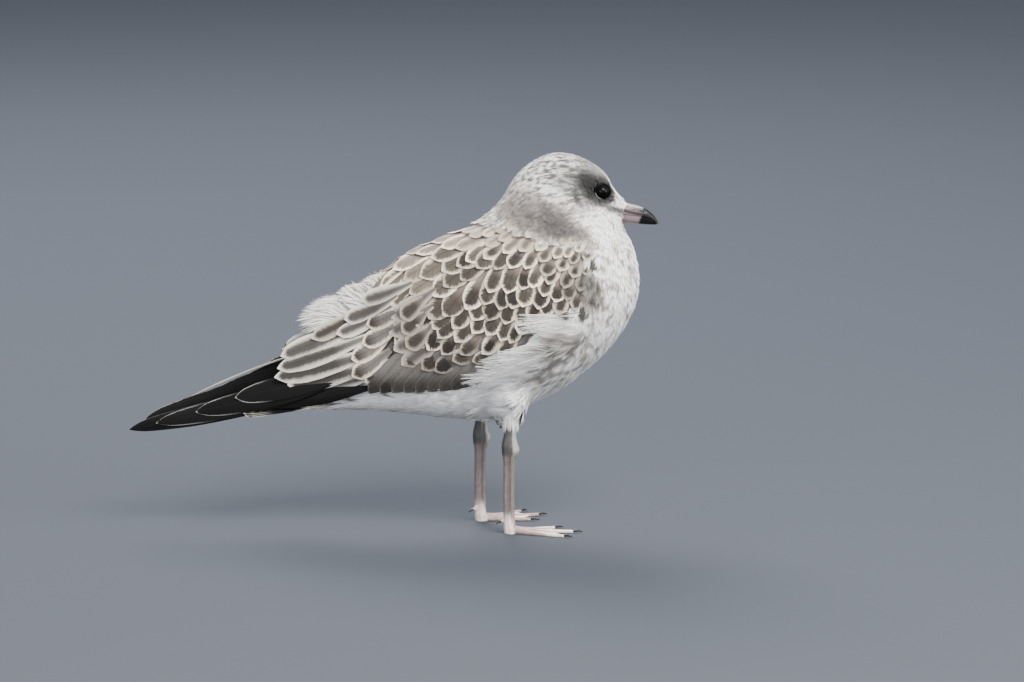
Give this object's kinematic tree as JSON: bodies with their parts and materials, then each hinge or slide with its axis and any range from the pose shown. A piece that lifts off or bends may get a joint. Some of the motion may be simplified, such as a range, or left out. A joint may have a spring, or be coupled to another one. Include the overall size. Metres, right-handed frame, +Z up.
{
  "type": "juvenile common gull",
  "caption": "Standing young gull, life size and still: rounded head, short bill, drawn-in neck, wings folded over the rump with dark crossed tips, slender legs and webbed feet.",
  "frame": {"origin": "middle of the bounding box's floor, where the gull stands", "axes": "+X the way the gull faces, +Y its left side, +Z up"},
  "size_m": [0.3702, 0.1028, 0.2662],
  "materials": {
    "coat_head": "short soft feathers, pale grey with fine dark streaks and a dusky smudge round the eye",
    "coat_body": "soft white feathers with grey-brown mottles on the breast",
    "coat_wing": "scaled feathers, brown-grey centres with cream fringes",
    "coat_tertial": "long grey-brown feathers with broad pale fringes",
    "flight_black": "blackish flight feathers, slightly glossy, with thin pale tips",
    "bill_horn": "smooth horn, greyish pink at the base and blackish at the tip",
    "eye_dark": "wet dark brown eye",
    "leg_skin": "scaled grey-pink skin, paler on the toes and webs",
    "claw_horn": "dark smooth claw"
  },
  "bodies": {
    "root": {"head": "coat_head", "neck": "coat_body", "trunk": "coat_body", "down": "coat_body", "wing_right": "coat_wing", "wing_left": "coat_wing", "tertials_right": "coat_tertial", "tertials_left": "coat_tertial", "primaries_right": "flight_black", "primaries_left": "flight_black", "tail": "flight_black", "bill_upper": "bill_horn", "bill_lower": "bill_horn", "eye_right": "eye_dark", "eye_left": "eye_dark", "thigh_right": "coat_body", "thigh_left": "coat_body", "shank_right": "leg_skin", "shank_left": "leg_skin", "foot_right": "leg_skin", "foot_left": "leg_skin", "claw_right_inner": "claw_horn", "claw_right_middle": "claw_horn", "claw_right_outer": "claw_horn", "claw_right_hind": "claw_horn", "claw_left_inner": "claw_horn", "claw_left_middle": "claw_horn", "claw_left_outer": "claw_horn", "claw_left_hind": "claw_horn"}
  },
  "joints": []
}
